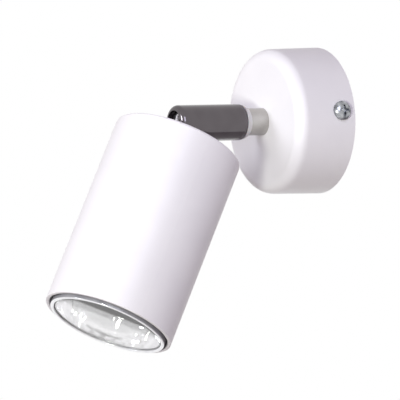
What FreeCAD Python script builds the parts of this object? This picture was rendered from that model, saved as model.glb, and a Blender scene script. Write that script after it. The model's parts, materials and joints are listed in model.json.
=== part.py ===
import FreeCAD, Part
import math
import os

from FreeCAD import Placement, Rotation, Vector

# Pivoting spotlight wall light, in millimetres.
# The origin is the centre of the base on the wall, -Y points out into the room and +Z up.
# Round pieces are built on a local Z axis, which is then laid along the arm or along the lamp can.

# Wires, three side by side in every bore
wire_r = 0.75
wire_gap = 0.2
arc_share = 0.45
tag_ring_r = 3.6
tag_neck = 1.0
tag_sheet = 0.8
tag_barrel_wall = 0.5
tag_barrel_length = 4.0

# Clearances
thread_gap = 0.02
running_gap = 0.05
hole_gap = 0.1
slide_gap = 0.2
bore_gap = 0.3

# Base cover, a pressed cup over the wall bracket
cover_d = 62.0
cover_draft = 0.5
cover_depth = 27.0
cover_wall = 1.2
cover_edge_radius = 5.0

# Wall bracket, a bent strap with one threaded ear under each cover screw
strap_thickness = 1.5
strap_width = 14.0
bend_radius = 1.0
ear_past_screw = 6.5
ear_to_cover_gap = 0.3
wall_slot_spacing = 40.0
wall_slot_width = 4.5
wall_slot_length = 8.0
earth_lug_width = 11.0
earth_lug_past_screw = 5.0
earth_lug_corner = 2.0
earth_screw_height = 13.0

# Screws: thread radius, head radius, head height, and shares of them that shape every head and point
m4_thread_r = 2.0
m4_head_r = 4.0
m4_head_h = 2.6
m3_thread_r = 1.5
m3_head_r = 2.75
m3_head_h = 2.0
head_edge_share = 0.35
head_shoulder_r_share = 0.62
head_shoulder_h_share = 0.86
recess_width_share = 0.24
recess_reach_share = 0.55
recess_floor_share = 0.35
thread_chamfer_share = 0.25
cover_screw_from_wall = 6.5
cover_screw_length = 6.0
earth_head_r = 3.5

# Two-pole terminal block
block_length = 22.0
block_width = 17.0
block_height = 12.0
block_drop = 4.0
block_corner_radius = 1.0
pole_pitch = 10.0
sleeve_r = 2.5
sleeve_bore_r = 1.4
sleeve_length = 15.0
sleeve_from_block_foot = 5.5
clamp_screw_r = 1.5
clamp_screw_offset = 4.2
clamp_screw_sunk = 1.5
driver_slot_width = 0.6
driver_slot_depth = 0.8
waist_half_width = 0.9
waist_depth = 4.0
fixing_head_r = 2.4
wire_into_sleeve = 6.5

# Neck, a hollow turned piece clamped in the cover, on whose spigot the arm turns
neck_wire_room = 0.17
neck_tip_wall = 1.1
neck_step = 0.5
neck_flat_depth = 0.5
neck_collar_r = 5.75
neck_collar_length = 8.5
neck_nut_flats = 12.0
neck_nut_height = 3.5
nut_corner_share = 0.3
nut_corner_extra = 0.2
tooth_washer_height = 0.8
tooth_depth = 1.1
tooth_count = 12
tooth_gap_share = 0.36
lock_washer_share = 0.98
shank_past_nut = 1.0
tip_past_nut = 0.5

# Arm tube and its swivel
arm_tube_wall = 2.15
arm_tube_length = 32.1
arm_tube_front_radius = 2.0
arm_tube_back_radius = 1.0
swivel_washer_height = 2.5
swivel_washer_lip = 0.75
swivel_washer_edge = 0.25
bush_wall = 1.95
bush_length = 6.0
stop_washer_height = 0.8
stop_pin_r = 0.5
stop_pin_depth = 3.0
stop_pin_share = 0.6
swivel_limit = 165.0
stop_play = 0.5
disc_spring_sheet = 0.4
disc_spring_height = 1.0
disc_spring_room = 0.9
swivel_nut_height = 2.5

# Tilt hinge, hidden in the open end of the arm
pivot_from_tube_end = 6.1
rest_tilt = 29.0
hinge_pin_r = 1.5
hinge_pin_end_gap = 0.1
insert_from_tube_end = 2.6
insert_back_wall = 4.3
ear_thickness = 1.0
ear_rim = 2.1
tilt_washer_height = 0.5
knuckle_slot_gap = 0.35
flange_to_tube_gap = 0.5
can_to_tube_gap = 1.02
knuckle_flange_lip = 1.2

# Wires at the hinge: straight runs at the ends, height of the earth wire, height of their window
wire_past_tip = 1.0
wire_past_fork = 1.2
wire_in_channel = 1.2
earth_lane_share = 2.05
wire_window_share = 0.8

# Twist-lock reflector lamp, 50 mm across
lamp_r = 25.0
lamp_body_length = 47.0
lamp_rim_length = 4.5
lamp_glass_wall = 1.4
lamp_glass_seat = 0.7
lamp_neck_r = 9.5
lamp_neck_from_face = 29.0
bowl_depth_share = 0.35
bowl_mouth_angle = 8.0
front_glass_height = 1.6
front_glass_recess = 0.5
capsule_r = 4.5
capsule_wall = 0.9
capsule_pinch = 3.0
capsule_tip_from_face = 4.5
capsule_length = 26.5
capsule_pinch_share = 0.36
filament_r = 0.4
filament_length = 5.0
lamp_base_past_pins = 5.5
lamp_base_half_y = 7.0
lamp_base_corner_radius = 2.5
lamp_base_from_face = 27.0
lamp_collar_wall = 1.5
lamp_collar_length = 6.0
pin_spacing = 10.0
pin_neck_r = 1.5
pin_head_r = 2.5
pin_neck_length = 3.0
pin_length = 7.0
pin_set_depth = 4.0
pin_edge_radius = 0.6

# Lamp can
can_to_lamp_gap = 1.0
can_length = 84.0
can_wall = 1.5
can_edge_radius = 1.0
can_mouth_edge_share = 0.25
lamp_proud_of_can = 1.3

# Lampholder and its bracket, inside the can
bracket_sheet = 1.0
bracket_width = 12.0
bracket_past_screw = 3.4
bracket_bend_radius = 0.5
bracket_foot_past_screw = 2.6
holder_length = 19.8
holder_half_x = 8.5
holder_past_screw = 6.4
holder_corner_radius = 3.0
holder_screw_offset = 7.6
holder_screw_length = 7.0
holder_plate = 2.6
holder_chamber = 6.0
contact_post_length = 3.0
wire_past_stem = 2.5
lamp_twist = 20.0
can_earth_offset = 13.0
can_earth_tab_past_screw = 4.5
can_earth_tab_width = 10.0

# Radii along the arm, worked out from the wires outwards
wire_lane_r = (2 * wire_r + wire_gap) / math.sqrt(3)
neck_bore_r = wire_lane_r + wire_r + neck_wire_room
neck_tip_r = neck_bore_r + neck_tip_wall
neck_spigot_r = neck_tip_r + neck_step
neck_shank_r = neck_spigot_r + neck_step
arm_bore_r = neck_spigot_r + running_gap + bush_wall
arm_tube_r = arm_bore_r + arm_tube_wall
stop_pin_centre_r = neck_spigot_r + running_gap + stop_pin_share * bush_wall
stop_washer_r = stop_pin_centre_r - stop_pin_r - hole_gap
stop_tab_reach = arm_bore_r - bore_gap
swivel_nut_flats = (arm_bore_r - bore_gap) * math.sqrt(3)
disc_spring_r = arm_bore_r - disc_spring_room
swivel_washer_back_r = neck_collar_r + swivel_washer_lip

# Widths at the tilt hinge: two wires side by side between the ears
knuckle_channel_half = 2 * wire_r + wire_gap
knuckle_half_width = knuckle_channel_half + ear_thickness
fork_gap_half = knuckle_half_width + tilt_washer_height
knuckle_hub_r = hinge_pin_r + ear_rim
knuckle_slot_half = knuckle_half_width + knuckle_slot_gap

# Places along the arm, measured out from the wall
ear_height = cover_screw_from_wall + ear_past_screw
block_top = strap_thickness + block_height
cover_inside = cover_depth - cover_wall
neck_nut_front = cover_inside - tooth_washer_height
neck_nut_back = neck_nut_front - neck_nut_height
neck_back = neck_nut_back - shank_past_nut
collar_front = cover_depth + neck_collar_length
tube_back = collar_front + swivel_washer_height
tube_front = tube_back + arm_tube_length
bush_front = tube_back + bush_length
stop_washer_front = bush_front + stop_washer_height
disc_spring_front = stop_washer_front + disc_spring_height
swivel_nut_front = disc_spring_front + swivel_nut_height
neck_front = swivel_nut_front + tip_past_nut
pivot_u = tube_front - pivot_from_tube_end
insert_front = tube_front - insert_from_tube_end
fork_back = pivot_u - knuckle_hub_r - knuckle_slot_half / 2
insert_back = fork_back - insert_back_wall


def tube_end_reach(aside):
    """Furthest reach of the tube's rounded end from the tilt pivot, at a distance aside of the middle."""
    along = pivot_from_tube_end - arm_tube_front_radius
    across = arm_tube_r - arm_tube_front_radius
    reach = math.hypot(along, across) + arm_tube_front_radius
    return math.sqrt(reach ** 2 - aside ** 2)


# Places along the can, measured from the tilt pivot: its top clears the tube's end all the way round
can_r = lamp_r + can_to_lamp_gap + can_wall
knuckle_flange_top = tube_end_reach(knuckle_slot_half) + flange_to_tube_gap
can_top = tube_end_reach(0) + can_to_tube_gap
can_ceiling = can_top + can_wall
can_mouth = can_top + can_length
bracket_floor = can_ceiling + bracket_sheet
can_nut_top = bracket_floor + tooth_washer_height
can_nut_bottom = can_nut_top + neck_nut_height
stem_end = can_nut_bottom + shank_past_nut
lamp_face = can_mouth + lamp_proud_of_can
front_glass_back = lamp_face - front_glass_recess - front_glass_height
capsule_tip = lamp_face - capsule_tip_from_face
capsule_back = capsule_tip - capsule_length
capsule_shoulder = capsule_back + capsule_pinch_share * capsule_length
lamp_base_end = lamp_face - lamp_body_length
holder_front = lamp_base_end - slide_gap
holder_back = holder_front - holder_length
keyhole_back = holder_front - holder_plate
contact_back = keyhole_back - holder_chamber
holder_half_y = holder_screw_offset + holder_past_screw
bracket_half_y = holder_screw_offset + m3_head_r + bracket_bend_radius + bracket_sheet

X_AXIS = Vector(1, 0, 0)
Z_AXIS = Vector(0, 0, 1)
ARM = Placement(Vector(0, 0, 0), Rotation(X_AXIS, 90))
HEAD = Placement(Vector(0, -pivot_u, 0), Rotation(X_AXIS, 180 - rest_tilt))


def place(shape, frame):
    """Copy of a shape built on its local axis, laid in the given frame."""
    placed = shape.copy()
    placed.Placement = frame.multiply(placed.Placement)
    return placed


def rod(radius, start, end, x=0.0, y=0.0):
    """Round bar along local Z."""
    return Part.makeCylinder(radius, end - start, Vector(x, y, start))


def ring(outer_r, inner_r, start, end):
    """Round washer or tube along local Z."""
    return rod(outer_r, start, end).cut(rod(inner_r, start, end))


def block(x0, x1, y0, y1, z0, z1):
    """Box between two corners."""
    return Part.makeBox(x1 - x0, y1 - y0, z1 - z0, Vector(x0, y0, z0))


def cross_bar(radius, half_length, y, z):
    """Round bar along local X."""
    return Part.makeCylinder(radius, 2 * half_length, Vector(-half_length, y, z), X_AXIS)


def along_y(radius, x, z, y0, y1):
    """Round bar along local Y."""
    return Part.makeCylinder(radius, y1 - y0, Vector(x, y0, z), Vector(0, 1, 0))


def turned(outline):
    """Solid turned about local Z from a closed outline of (radius, height) points."""
    points = [Vector(r, 0, h) for r, h in outline]
    face = Part.Face(Part.makePolygon(points + points[:1]))
    return face.revolve(Vector(0, 0, 0), Z_AXIS, 360)


def hexagon(across_flats, start, end):
    """Hexagonal bar along local Z."""
    corner = across_flats / math.sqrt(3)
    points = []
    for k in range(7):
        angle = math.radians(60 * k)
        points.append(Vector(corner * math.cos(angle), corner * math.sin(angle), start))
    return Part.Face(Part.makePolygon(points)).extrude(Vector(0, 0, end - start))


def hex_nut(across_flats, bore_r, start, end):
    """Hexagon nut with its corners turned off."""
    corner = across_flats / math.sqrt(3)
    chamfer = nut_corner_share * (corner - across_flats / 2) + nut_corner_extra
    middle = (start + end) / 2
    bound = turned([
        (0, start), (corner - chamfer, start), (corner, start + chamfer), (corner, middle),
        (corner, end - chamfer), (corner - chamfer, end), (0, end),
    ])
    return hexagon(across_flats, start, end).common(bound).cut(rod(bore_r, start, end))


def tooth_washer(outer_r, inner_r, start, end):
    """Lock washer with teeth around its outer edge."""
    washer = ring(outer_r, inner_r, start, end)
    notch_half = tooth_gap_share * outer_r * math.sin(math.pi / tooth_count)
    for k in range(tooth_count):
        notch = block(outer_r - tooth_depth, outer_r + 1, -notch_half, notch_half, start, end)
        notch.rotate(Vector(0, 0, 0), Z_AXIS, 360.0 * k / tooth_count)
        washer = washer.cut(notch)
    return washer


def edges_at(shape, test):
    """Edges whose centre of mass passes the test."""
    return [edge for edge in shape.Edges if test(edge.CenterOfMass)]


def cross_recess(head_r, head_h):
    """Tapered cross cut into the top of a screw head."""
    half = recess_width_share * head_r / 2
    reach = recess_reach_share * head_r
    floor = recess_floor_share * head_h
    arm = block(-reach, reach, -half, half, floor, head_h + 1)
    other = block(-half, half, -reach, reach, floor, head_h + 1)
    return arm.fuse(other)


def pan_screw(thread_r, head_r, head_h, length):
    """Cross-recessed pan-head screw: the head stands on local Z = 0, the shank goes down."""
    edge = head_edge_share * head_h
    shoulder = Vector(head_shoulder_r_share * head_r, 0, head_shoulder_h_share * head_h)
    crown = Part.Arc(Vector(head_r, 0, edge), shoulder, Vector(0, 0, head_h))
    outline = [
        crown.toShape(),
        Part.makeLine(Vector(0, 0, head_h), Vector(0, 0, 0)),
        Part.makeLine(Vector(0, 0, 0), Vector(head_r, 0, 0)),
        Part.makeLine(Vector(head_r, 0, 0), Vector(head_r, 0, edge)),
    ]
    head = Part.Face(Part.Wire(Part.__sortEdges__(outline))).revolve(Vector(0, 0, 0), Z_AXIS, 360)
    chamfer = thread_chamfer_share * thread_r
    shank = turned([
        (0, -length), (thread_r - chamfer, -length), (thread_r, chamfer - length), (thread_r, 0), (0, 0),
    ])
    return head.fuse(shank).cut(cross_recess(head_r, head_h)).removeSplitter()


def ring_tag(hole_r, start):
    """Ring terminal lying on a face at local Z = start, its barrel pointing along +Y."""
    sheet_top = start + tag_sheet
    barrel_r = wire_r + tag_barrel_wall
    flat = rod(tag_ring_r, start, sheet_top)
    socket_start = tag_ring_r + tag_neck
    tongue = block(-barrel_r, barrel_r, 0, socket_start, start, sheet_top)
    barrel = along_y(barrel_r, 0, start + barrel_r, tag_ring_r, tag_ring_r + tag_barrel_length)
    socket_end = socket_start + tag_barrel_length
    socket = along_y(wire_r + thread_gap, 0, start + barrel_r, socket_start, socket_end)
    return flat.fuse(tongue).fuse(barrel).cut(rod(hole_r, start, sheet_top)).cut(socket).removeSplitter()


def corner_arc(before, corner, after):
    """Tangent arc at one corner of a route: its start, middle and end points."""
    into = (corner - before).normalize()
    away = (after - corner).normalize()
    turn = into.getAngle(away)
    shorter = min((corner - before).Length, (after - corner).Length)
    setback = arc_share * shorter
    radius = setback / math.tan(turn / 2)
    bisector = (away - into).normalize()
    centre = corner + bisector * (radius / math.cos(turn / 2))
    return corner - into * setback, centre - bisector * radius, corner + away * setback


def wire_along(route, radius=wire_r):
    """Round wire along straight runs joined by tangent arcs."""
    edges = []
    here = route[0]
    for before, corner, after in zip(route, route[1:], route[2:]):
        start, middle, end = corner_arc(before, corner, after)
        edges.append(Part.LineSegment(here, start).toShape())
        edges.append(Part.Arc(start, middle, end).toShape())
        here = end
    edges.append(Part.LineSegment(here, route[-1]).toShape())
    path = Part.Wire(edges)
    section = Part.Wire(Part.Circle(route[0], route[1] - route[0], radius).toShape())
    return path.makePipeShell([section], True, False)


# Base


def cup(back_r, front_r, depth, edge_radius):
    """Solid drafted disc, rounded at its front edge."""
    solid = Part.makeCone(back_r, front_r, depth)
    front_edge = edges_at(solid, lambda c: abs(c.z - depth) < 1e-6)
    return solid.makeFillet(edge_radius, front_edge)


def cover_outer_r(u):
    """Outer radius of the cover at a distance from the wall."""
    return cover_d / 2 - cover_draft * u / cover_depth


def base_cover():
    back_r = cover_d / 2
    front_r = back_r - cover_draft
    outer = cup(back_r, front_r, cover_depth, cover_edge_radius)
    inner = cup(back_r - cover_wall, front_r - cover_wall, cover_inside, cover_edge_radius - cover_wall)
    shell = outer.cut(inner).cut(rod(neck_shank_r + hole_gap, 0, cover_depth + 1))
    return shell.cut(cross_bar(m4_thread_r + slide_gap, cover_d, 0, cover_screw_from_wall))


def ear_outer_x():
    """Outer face of the bracket's ears, whose corners stay clear inside the cover."""
    reach = cover_outer_r(ear_height) - cover_wall - ear_to_cover_gap
    return math.sqrt(reach ** 2 - (strap_width / 2) ** 2)


def bent_channel(half_length, half_width, height, sheet):
    """Strap bent up at both ends, lying on local Z = 0."""
    outer = block(-half_length, half_length, -half_width, half_width, 0, height)
    outer = outer.makeFillet(bend_radius + sheet, edges_at(outer, lambda c: c.z < 1e-6 and abs(c.y) < 1e-6))
    inside = half_length - sheet
    inner = block(-inside, inside, -half_width, half_width, sheet, height + bend_radius)
    inner = inner.makeFillet(bend_radius, edges_at(inner, lambda c: c.z < sheet + 1e-6 and abs(c.y) < 1e-6))
    return outer.cut(inner)


def slotted_hole(length, width, x, height):
    """Cutter for a rounded slot along X."""
    half = length / 2 - width / 2
    ends = rod(width / 2, -1, height, x - half).fuse(rod(width / 2, -1, height, x + half))
    return ends.fuse(block(x - half, x + half, -width / 2, width / 2, -1, height))


def wall_bracket():
    half_width = strap_width / 2
    strap = bent_channel(ear_outer_x(), half_width, ear_height, strap_thickness)
    lug_end = earth_screw_height + earth_lug_past_screw
    lug = block(-earth_lug_width / 2, earth_lug_width / 2, 0, lug_end, 0, strap_thickness)
    corners = edges_at(lug, lambda c: abs(c.y - lug_end) < 1e-6 and abs(c.z - strap_thickness / 2) < 1e-6)
    lug = lug.makeFillet(earth_lug_corner, corners)
    bracket = strap.fuse(lug)
    for side in (-1, 1):
        x = side * wall_slot_spacing / 2
        bracket = bracket.cut(slotted_hole(wall_slot_length, wall_slot_width, x, strap_thickness + 1))
    bracket = bracket.cut(cross_bar(m4_thread_r + thread_gap, cover_d, 0, cover_screw_from_wall))
    bracket = bracket.cut(rod(m4_thread_r + thread_gap, -1, strap_thickness + 1, 0, earth_screw_height))
    bracket = bracket.cut(rod(m3_thread_r + thread_gap, -1, strap_thickness + 1, 0, -block_drop))
    return bracket.removeSplitter()


def cover_screws():
    """The two screws through the side of the cover, on the X axis."""
    seat = cover_outer_r(cover_screw_from_wall - m4_head_r)
    screws = []
    for side in (-1, 1):
        screw = pan_screw(m4_thread_r, m4_head_r, m4_head_h, cover_screw_length)
        frame = Placement(Vector(side * seat, 0, cover_screw_from_wall), Rotation(Vector(0, 1, 0), side * 90))
        screws.append(place(screw, frame))
    return Part.makeCompound(screws)


def pole_xs():
    """Places of the two terminal poles."""
    return (-pole_pitch / 2, pole_pitch / 2)


def sleeve_height():
    """Axis of the brass sleeves above the wall."""
    return strap_thickness + sleeve_from_block_foot


def terminal_block():
    foot, top = strap_thickness, block_top
    low, high = -block_drop - block_width / 2, -block_drop + block_width / 2
    body = block(-block_length / 2, block_length / 2, low, high, foot, top)
    body = body.makeFillet(block_corner_radius, edges_at(body, lambda c: abs(c.z - (foot + top) / 2) < 1e-6))
    body = body.cut(block(-waist_half_width, waist_half_width, low, high, top - waist_depth, top))
    for x in pole_xs():
        body = body.cut(along_y(sleeve_r + thread_gap, x, sleeve_height(), low, high))
        for side in (-1, 1):
            y = -block_drop + side * clamp_screw_offset
            body = body.cut(rod(clamp_screw_r + 2 * slide_gap, sleeve_height(), top, x, y))
    body = body.cut(rod(fixing_head_r + hole_gap, top - waist_depth, top, 0, -block_drop))
    return body.cut(rod(m3_thread_r + hole_gap, foot, top, 0, -block_drop))


def terminal_sleeves():
    """Brass tubes that join the supply wires to the inner wires."""
    sleeves = []
    low, high = -block_drop - sleeve_length / 2, -block_drop + sleeve_length / 2
    for x in pole_xs():
        sleeve = along_y(sleeve_r, x, sleeve_height(), low, high)
        sleeve = sleeve.cut(along_y(sleeve_bore_r, x, sleeve_height(), low, high))
        for side in (-1, 1):
            y = -block_drop + side * clamp_screw_offset
            top = sleeve_height() + sleeve_r
            sleeve = sleeve.cut(rod(clamp_screw_r + thread_gap, sleeve_height(), top, x, y))
        sleeves.append(sleeve)
    return Part.makeCompound(sleeves)


def terminal_screws():
    """Slotted clamping screws, two to a pole."""
    screws = []
    foot = sleeve_height() + wire_r + thread_gap
    top = block_top - clamp_screw_sunk
    half = driver_slot_width / 2
    for x in pole_xs():
        for side in (-1, 1):
            y = -block_drop + side * clamp_screw_offset
            screw = rod(clamp_screw_r, foot, top, x, y)
            slot_floor = top - driver_slot_depth
            slot = block(x - half, x + half, y - clamp_screw_r, y + clamp_screw_r, slot_floor, top)
            screws.append(screw.cut(slot))
    return Part.makeCompound(screws)


def terminal_fixing_screw():
    top = block_top - waist_depth
    screw = pan_screw(m3_thread_r, fixing_head_r, m3_head_h, top - slide_gap)
    return place(screw, Placement(Vector(0, -block_drop, top), Rotation()))


def earth_screw():
    screw = pan_screw(m4_thread_r, earth_head_r, m4_head_h, tag_sheet + strap_thickness)
    return place(screw, Placement(Vector(0, earth_screw_height, strap_thickness + tag_sheet), Rotation()))


def earth_tag():
    tag = ring_tag(m4_thread_r + hole_gap, strap_thickness)
    return place(tag, Placement(Vector(0, earth_screw_height, 0), Rotation()))


# Neck and swivel


def tip_flat(start, end, radius):
    """Cutter for the flat on the neck's tip."""
    return block(-radius, radius, neck_tip_r - neck_flat_depth, radius + 1, start, end)


def neck():
    shank = rod(neck_shank_r, neck_back, cover_depth)
    collar = rod(neck_collar_r, cover_depth, collar_front)
    spigot = rod(neck_spigot_r, collar_front, bush_front - running_gap)
    tip = rod(neck_tip_r, bush_front - running_gap, neck_front)
    tip = tip.cut(tip_flat(bush_front - running_gap, neck_front, neck_tip_r + 1))
    solid = shank.fuse(collar).fuse(spigot).fuse(tip)
    return solid.cut(rod(neck_bore_r, neck_back, neck_front)).removeSplitter()


def neck_lock_nut():
    return hex_nut(neck_nut_flats, neck_shank_r + thread_gap, neck_nut_back, neck_nut_front)


def lock_washer_r():
    """Outer radius of a tooth washer, just inside the corners of the nut on it."""
    return lock_washer_share * neck_nut_flats / math.sqrt(3)


def neck_tooth_washer():
    return tooth_washer(lock_washer_r(), neck_shank_r + hole_gap, neck_nut_front, cover_inside)


def swivel_washer():
    """Pale tapered washer between the neck and the arm."""
    bore_r = neck_spigot_r + running_gap
    edge = swivel_washer_edge
    return turned([
        (bore_r, collar_front), (swivel_washer_back_r - edge, collar_front),
        (swivel_washer_back_r, collar_front + edge), (arm_tube_r - edge, tube_back - edge),
        (arm_tube_r - edge, tube_back), (bore_r, tube_back),
    ])


def stop_pin_half_angle():
    return math.degrees(math.asin(stop_pin_r / stop_pin_centre_r))


def stop_washer():
    """Keyed washer whose tab stops the arm short of a full turn."""
    washer = rod(stop_washer_r, bush_front, stop_washer_front)
    tab_half_angle = 180 - swivel_limit - stop_pin_half_angle() - stop_play
    tab_foot = Vector(0, 0, bush_front)
    tab = Part.makeCylinder(stop_tab_reach, stop_washer_height, tab_foot, Z_AXIS, 2 * tab_half_angle)
    tab.rotate(Vector(0, 0, 0), Z_AXIS, 90 - tab_half_angle)
    hole = rod(neck_tip_r + running_gap, bush_front, stop_washer_front)
    flat = block(-stop_washer_r, stop_washer_r, neck_tip_r - neck_flat_depth + running_gap, stop_washer_r,
                 bush_front, stop_washer_front)
    return washer.fuse(tab).cut(hole.cut(flat)).removeSplitter()


def swivel_disc_spring():
    """Coned spring washer that gives the swivel its drag."""
    inner_r = neck_tip_r + hole_gap
    return turned([
        (inner_r, disc_spring_front - disc_spring_sheet), (inner_r, disc_spring_front),
        (disc_spring_r, stop_washer_front + disc_spring_sheet), (disc_spring_r, stop_washer_front),
    ])


def swivel_nut():
    return hex_nut(swivel_nut_flats, neck_tip_r + thread_gap, disc_spring_front, swivel_nut_front)


def swivel_bush():
    """Plug fixed in the back of the arm, running on the neck's spigot."""
    bush = ring(arm_bore_r - thread_gap, neck_spigot_r + running_gap, tube_back, bush_front)
    return bush.cut(rod(stop_pin_r, bush_front - stop_pin_depth, bush_front, 0, -stop_pin_centre_r))


def stop_pin():
    return rod(stop_pin_r, bush_front - stop_pin_depth, stop_washer_front - hole_gap, 0, -stop_pin_centre_r)


# Arm and tilt hinge


def arm_tube():
    """Tube with rounded ends, its underside slotted from the open one so that the can hangs straight down."""
    bar = rod(arm_tube_r, tube_back, tube_front)
    bar = bar.makeFillet(arm_tube_front_radius, edges_at(bar, lambda c: abs(c.z - tube_front) < 1e-6))
    bar = bar.makeFillet(arm_tube_back_radius, edges_at(bar, lambda c: abs(c.z - tube_back) < 1e-6))
    tube = bar.cut(rod(arm_bore_r, tube_back, tube_front))
    half = knuckle_slot_half
    slot_back = pivot_u - knuckle_hub_r - knuckle_slot_gap
    slot = block(-half, half, -arm_tube_r - 1, 0, slot_back, tube_front + 1)
    slot_end = Part.makeCylinder(half, arm_tube_r + 1, Vector(0, 0, slot_back), Vector(0, -1, 0))
    return tube.cut(slot).cut(slot_end)


def wire_window_y():
    """Height of the wires' way through the hinge insert, above the pin."""
    return hinge_pin_r + hole_gap + wire_r + wire_window_share * wire_r


def hinge_insert():
    """Plug fixed in the open end of the arm, forked for the knuckle and bored for the pin."""
    plug = rod(arm_bore_r - thread_gap, insert_back, insert_front)
    fork = block(-fork_gap_half, fork_gap_half, -arm_tube_r, arm_tube_r, fork_back, insert_front)
    window = rod(neck_bore_r + slide_gap, insert_back, fork_back, 0, wire_window_y())
    bore = cross_bar(hinge_pin_r + thread_gap, arm_tube_r, 0, pivot_u)
    return plug.cut(fork).cut(window).cut(bore)


def hinge_pin():
    half = math.sqrt(arm_bore_r ** 2 - hinge_pin_r ** 2) - hinge_pin_end_gap
    return cross_bar(hinge_pin_r, half, 0, pivot_u)


def tilt_washers():
    """Spring washers between the knuckle and the fork's cheeks."""
    washers = []
    for side in (-1, 1):
        centre = side * (knuckle_half_width + fork_gap_half) / 2
        start = Vector(centre - tilt_washer_height / 2, 0, pivot_u)
        washer = Part.makeCylinder(knuckle_hub_r - bore_gap, tilt_washer_height, start, X_AXIS)
        washers.append(washer.cut(cross_bar(hinge_pin_r + running_gap, arm_tube_r, 0, pivot_u)))
    return Part.makeCompound(washers)


def knuckle():
    """Two-eared stem that carries the can on the hinge pin."""
    flange_top = knuckle_flange_top
    hub = cross_bar(knuckle_hub_r, knuckle_half_width, 0, 0)
    shank = block(-knuckle_half_width, knuckle_half_width, -knuckle_hub_r, knuckle_hub_r, 0, flange_top)
    channel_half = knuckle_channel_half
    channel = block(-channel_half, channel_half, -arm_tube_r, arm_tube_r, -arm_tube_r, flange_top)
    ears = hub.fuse(shank).cut(channel)
    flange = rod(neck_shank_r + knuckle_flange_lip, flange_top, can_top)
    stem = rod(neck_shank_r, can_top, stem_end)
    solid = ears.fuse(flange).fuse(stem).cut(rod(neck_bore_r, flange_top - 1, stem_end))
    return solid.cut(cross_bar(hinge_pin_r + running_gap, arm_tube_r, 0, 0)).removeSplitter()


# Lamp can and lampholder


def lamp_can():
    outer = rod(can_r, can_top, can_mouth)
    outer = outer.makeFillet(can_edge_radius, edges_at(outer, lambda c: abs(c.z - can_top) < 1e-6))
    inner = rod(can_r - can_wall, can_ceiling, can_mouth)
    corner = edges_at(inner, lambda c: abs(c.z - can_ceiling) < 1e-6)
    inner = inner.makeFillet(can_edge_radius / 2, corner)
    shell = outer.cut(inner).cut(rod(neck_shank_r + hole_gap, can_top, can_ceiling))
    rim = edges_at(shell, lambda c: abs(c.z - can_mouth) < 1e-6)
    return shell.makeFillet(can_mouth_edge_share * can_wall, rim)


def can_nut():
    return hex_nut(neck_nut_flats, neck_shank_r + thread_gap, can_nut_top, can_nut_bottom)


def can_tooth_washer():
    return tooth_washer(lock_washer_r(), neck_shank_r + hole_gap, bracket_floor, can_nut_top)


def holder_bracket():
    """Sheet bracket from the can's ceiling down to the lampholder."""
    half_x = bracket_width / 2
    half_y = bracket_half_y
    foot = holder_back - bracket_sheet
    foot_inner = holder_screw_offset - bracket_foot_past_screw
    outer = block(-half_x, half_x, -half_y, half_y, can_ceiling, holder_back)
    bends = edges_at(outer, lambda c: abs(c.x) < 1e-6 and abs(abs(c.y) - half_y) < 1e-6)
    outer = outer.makeFillet(bracket_bend_radius + bracket_sheet, bends)
    inside = half_y - bracket_sheet
    inner = block(-half_x, half_x, -inside, inside, bracket_floor, foot)
    bends = edges_at(inner, lambda c: abs(c.x) < 1e-6 and abs(abs(c.y) - inside) < 1e-6)
    inner = inner.makeFillet(bracket_bend_radius, bends)
    gap = block(-half_x, half_x, -foot_inner, foot_inner, foot, holder_back)
    half_tab = can_earth_tab_width / 2
    tab_end = can_earth_offset + can_earth_tab_past_screw
    tab = block(0, tab_end, -half_tab, half_tab, can_ceiling, bracket_floor)
    bracket = outer.cut(inner).cut(gap).fuse(tab)
    bracket = bracket.cut(rod(neck_shank_r + hole_gap, can_ceiling, bracket_floor))
    bracket = bracket.cut(rod(m3_thread_r + thread_gap, can_ceiling, bracket_floor, can_earth_offset))
    for side in (-1, 1):
        bracket = bracket.cut(rod(m3_thread_r + hole_gap, foot, holder_back, 0, side * holder_screw_offset))
    return bracket.removeSplitter()


def holder_screws():
    """Screws through the bracket's feet into the lampholder."""
    seat = holder_back - bracket_sheet
    screws = []
    for side in (-1, 1):
        screw = pan_screw(m3_thread_r, m3_head_r, m3_head_h, holder_screw_length)
        frame = Placement(Vector(0, side * holder_screw_offset, seat), Rotation(X_AXIS, 180))
        screws.append(place(screw, frame))
    return Part.makeCompound(screws)


def arc_slot(half_width, start, end):
    """Cutter for one twist-lock slot, centred on the pin's circle."""
    centre_r = pin_spacing / 2
    height = end - start
    sector = Part.makeCylinder(centre_r + half_width, height, Vector(0, 0, start), Z_AXIS, lamp_twist)
    sector = sector.cut(rod(centre_r - half_width, start, end))
    first = rod(half_width, start, end, centre_r)
    last = first.copy()
    last.rotate(Vector(0, 0, 0), Z_AXIS, lamp_twist)
    return sector.fuse(first).fuse(last)


def half_turn(shape):
    """Copy turned half round the local axis."""
    copy = shape.copy()
    copy.rotate(Vector(0, 0, 0), Z_AXIS, 180)
    return copy


def lampholder():
    """Ceramic twist-lock socket."""
    body = block(-holder_half_x, holder_half_x, -holder_half_y, holder_half_y, holder_back, holder_front)
    middle = (holder_back + holder_front) / 2
    body = body.makeFillet(holder_corner_radius, edges_at(body, lambda c: abs(c.z - middle) < 1e-6))
    entry = rod(pin_head_r + slide_gap, keyhole_back, holder_front, pin_spacing / 2)
    entry.rotate(Vector(0, 0, 0), Z_AXIS, lamp_twist)
    slot = arc_slot(pin_neck_r + slide_gap, keyhole_back, holder_front)
    chamber = arc_slot(pin_head_r + slide_gap, contact_back, keyhole_back)
    wire_way = rod(wire_r + hole_gap, holder_back, contact_back, pin_spacing / 2)
    keyhole = entry.fuse(slot).fuse(chamber).fuse(wire_way)
    body = body.cut(keyhole).cut(half_turn(keyhole))
    screw_end = holder_back + holder_screw_length
    for side in (-1, 1):
        body = body.cut(rod(m3_thread_r + thread_gap, holder_back, screw_end, 0, side * holder_screw_offset))
    return body


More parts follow.
